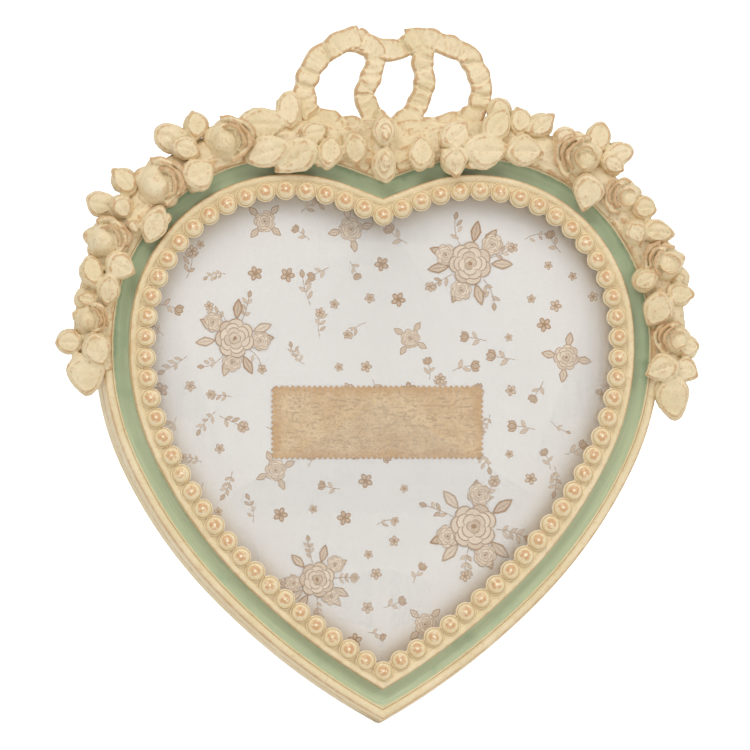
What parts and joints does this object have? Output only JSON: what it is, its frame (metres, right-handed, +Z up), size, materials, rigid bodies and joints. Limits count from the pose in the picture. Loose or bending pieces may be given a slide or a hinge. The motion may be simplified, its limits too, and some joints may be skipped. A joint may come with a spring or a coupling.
{
  "type": "photo frame",
  "caption": "Heart shaped resin photo frame with a rose garland, an openwork bow on top and an easel back that stands it on a table.",
  "frame": {"origin": "the tip of the heart, where the frame rests on its surface", "axes": "+Z up; -Y out of the front, towards the viewer; +X to the viewer's right"},
  "size_m": [0.1724, 0.0766, 0.1807],
  "materials": {
    "resin_cream": "matte",
    "resin_bead": "satin",
    "resin_green": "matte",
    "glass": "clear",
    "insert_paper": "printed paper",
    "card": "grey card",
    "board": "fibreboard",
    "velvet": "flocked",
    "ribbon": "woven satin",
    "plated_steel": "yellow plated"
  },
  "bodies": {
    "frame": {"frame_moulding": "resin_cream", "bead_rim": "resin_cream", "garland_bed_left": "resin_cream", "garland_bed_right": "resin_cream", "bow_loop_left": "resin_cream", "bow_loop_right": "resin_cream", "bow_knot": "resin_cream", "rose_left_1": "resin_cream", "rose_left_2": "resin_cream", "rose_left_3": "resin_cream", "rose_left_4": "resin_cream", "rose_right_1": "resin_cream", "rose_right_2": "resin_cream", "rose_right_3": "resin_cream", "rose_right_4": "resin_cream", "notch_buds": "resin_cream", "leaves_left_1": "resin_cream", "leaves_left_2": "resin_cream", "leaves_left_3": "resin_cream", "leaves_left_4": "resin_cream", "leaves_right_1": "resin_cream", "leaves_right_2": "resin_cream", "leaves_right_3": "resin_cream", "leaves_right_4": "resin_cream", "leaves_centre_left": "resin_cream", "leaves_centre_right": "resin_cream", "beads": "resin_bead", "green_cove": "resin_green", "glass_pane": "glass", "photo_insert": "insert_paper", "filler_card": "card", "backboard": "board", "backboard_velvet": "velvet", "hinge_bracket": "plated_steel", "hinge_pin": "plated_steel", "bracket_rivets": "plated_steel", "stay_ribbon": "ribbon", "ribbon_board_rivet": "plated_steel", "turn_button_screws": "plated_steel", "hanger_strap": "plated_steel", "strap_rivet": "plated_steel"},
    "strut": {"strut_board": "board", "strut_velvet_front": "velvet", "strut_velvet_back": "velvet", "hinge_leaf": "plated_steel", "leaf_rivets": "plated_steel", "ribbon_strut_rivet": "plated_steel"},
    "hanging_ring": {"hanging_ring": "plated_steel"},
    "turn_button_left_upper": {"turn_button_left_upper": "plated_steel"},
    "turn_button_right_upper": {"turn_button_right_upper": "plated_steel"},
    "turn_button_left_lower": {"turn_button_left_lower": "plated_steel"},
    "turn_button_right_lower": {"turn_button_right_lower": "plated_steel"}
  },
  "joints": [
    {"name": "strut_hinge", "type": "hinge", "parent": "frame", "child": "strut", "pos_m": [0, 0.0313, 0.10075], "axis": [-1, 0, 0], "range_deg": [0, 33], "deforming": ["stay_ribbon"]},
    {"name": "hanging_ring_swing", "type": "hinge", "parent": "frame", "child": "hanging_ring", "pos_m": [0, 0.03345, 0.11881], "axis": [1, 0, 0], "range_deg": [-15, 150]},
    {"name": "turn_button_left_upper_turn", "type": "hinge", "parent": "frame", "child": "turn_button_left_upper", "pos_m": [-0.04242, 0.03766, 0.13993], "axis": [0, -0.9659, 0.2588], "continuous": true},
    {"name": "turn_button_right_upper_turn", "type": "hinge", "parent": "frame", "child": "turn_button_right_upper", "pos_m": [0.04242, 0.03766, 0.13993], "axis": [0, -0.9659, 0.2588], "continuous": true},
    {"name": "turn_button_left_lower_turn", "type": "hinge", "parent": "frame", "child": "turn_button_left_lower", "pos_m": [-0.05585, 0.01458, 0.05382], "axis": [0, -0.9659, 0.2588], "continuous": true},
    {"name": "turn_button_right_lower_turn", "type": "hinge", "parent": "frame", "child": "turn_button_right_lower", "pos_m": [0.05585, 0.01458, 0.05382], "axis": [0, -0.9659, 0.2588], "continuous": true}
  ]
}
